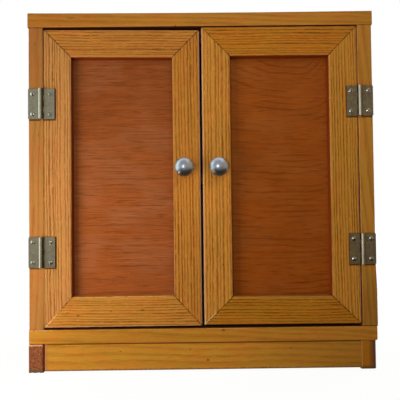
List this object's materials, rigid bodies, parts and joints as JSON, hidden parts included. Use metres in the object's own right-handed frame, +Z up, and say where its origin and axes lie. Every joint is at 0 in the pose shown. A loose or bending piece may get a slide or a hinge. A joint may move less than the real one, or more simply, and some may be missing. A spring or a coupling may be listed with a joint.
{
  "type": "tabletop cupboard",
  "caption": "Small pine tabletop cupboard with a pair of inset framed doors, butt hinges and knobs, an inner shelf, a magnetic catch and a plinth on runners.",
  "frame": {"origin": "bottom centre of the whole cupboard, knobs included: middle of its width and depth, at the floor", "axes": "+X to the right as seen from the front, +Y to the back, +Z up; the doors face -Y"},
  "size_m": [0.457, 0.25, 0.473],
  "materials": {
    "pine": "satin varnish over aged pine",
    "frame_pine": "satin varnish over combed, weathered pine",
    "red_ply": "red-brown stained plywood, low sheen",
    "back_ply": "bare plywood, matt",
    "raw_pine": "unfinished pine, matt",
    "old_nickel": "dull tarnished nickel plate",
    "screw_steel": "worn plated screw heads",
    "knob_chrome": "polished with fine scratches",
    "dark_iron": "dull dark steel",
    "strike_steel": "bright zinc plate",
    "brown_plastic": "matt brown"
  },
  "bodies": {
    "case": {"top_board": "pine", "bottom_board": "pine", "left_side": "pine", "right_side": "pine", "back_panel": "back_ply", "shelf": "raw_pine", "left_shelf_cleat": "raw_pine", "right_shelf_cleat": "raw_pine", "cleat_screws": "screw_steel", "plinth_front": "pine", "plinth_back": "raw_pine", "left_runner": "pine", "right_runner": "pine", "plinth_glue_blocks": "raw_pine", "case_nails": "dark_iron", "back_panel_pins": "dark_iron", "catch_body": "brown_plastic", "catch_magnets": "dark_iron", "catch_screws": "screw_steel", "left_upper_case_leaf": "old_nickel", "left_lower_case_leaf": "old_nickel", "right_upper_case_leaf": "old_nickel", "right_lower_case_leaf": "old_nickel", "left_upper_hinge_pin": "old_nickel", "left_lower_hinge_pin": "old_nickel", "right_upper_hinge_pin": "old_nickel", "right_lower_hinge_pin": "old_nickel", "case_leaf_screws": "screw_steel"},
    "left_door": {"left_door_hinge_stile": "frame_pine", "left_door_meeting_stile": "frame_pine", "left_door_top_rail": "frame_pine", "left_door_bottom_rail": "frame_pine", "left_door_panel": "red_ply", "left_door_panel_pins": "dark_iron", "left_door_mitre_pins": "dark_iron", "left_upper_door_leaf": "old_nickel", "left_lower_door_leaf": "old_nickel", "left_door_leaf_screws": "screw_steel", "left_knob": "knob_chrome", "left_knob_bolt": "dark_iron", "left_knob_washer": "dark_iron", "left_strike_plate": "strike_steel", "left_strike_screws": "screw_steel"},
    "right_door": {"right_door_hinge_stile": "frame_pine", "right_door_meeting_stile": "frame_pine", "right_door_top_rail": "frame_pine", "right_door_bottom_rail": "frame_pine", "right_door_panel": "red_ply", "right_door_panel_pins": "dark_iron", "right_door_mitre_pins": "dark_iron", "right_upper_door_leaf": "old_nickel", "right_lower_door_leaf": "old_nickel", "right_door_leaf_screws": "screw_steel", "right_knob": "knob_chrome", "right_knob_bolt": "dark_iron", "right_knob_washer": "dark_iron", "right_strike_plate": "strike_steel", "right_strike_screws": "screw_steel"}
  },
  "joints": [
    {"name": "left_door_hinge", "type": "hinge", "parent": "case", "child": "left_door", "pos_m": [-0.21, -0.1032, 0.255], "axis": [0, 0, -1], "range_deg": [0, 180]},
    {"name": "right_door_hinge", "type": "hinge", "parent": "case", "child": "right_door", "pos_m": [0.21, -0.1032, 0.255], "axis": [0, 0, 1], "range_deg": [0, 180]}
  ]
}
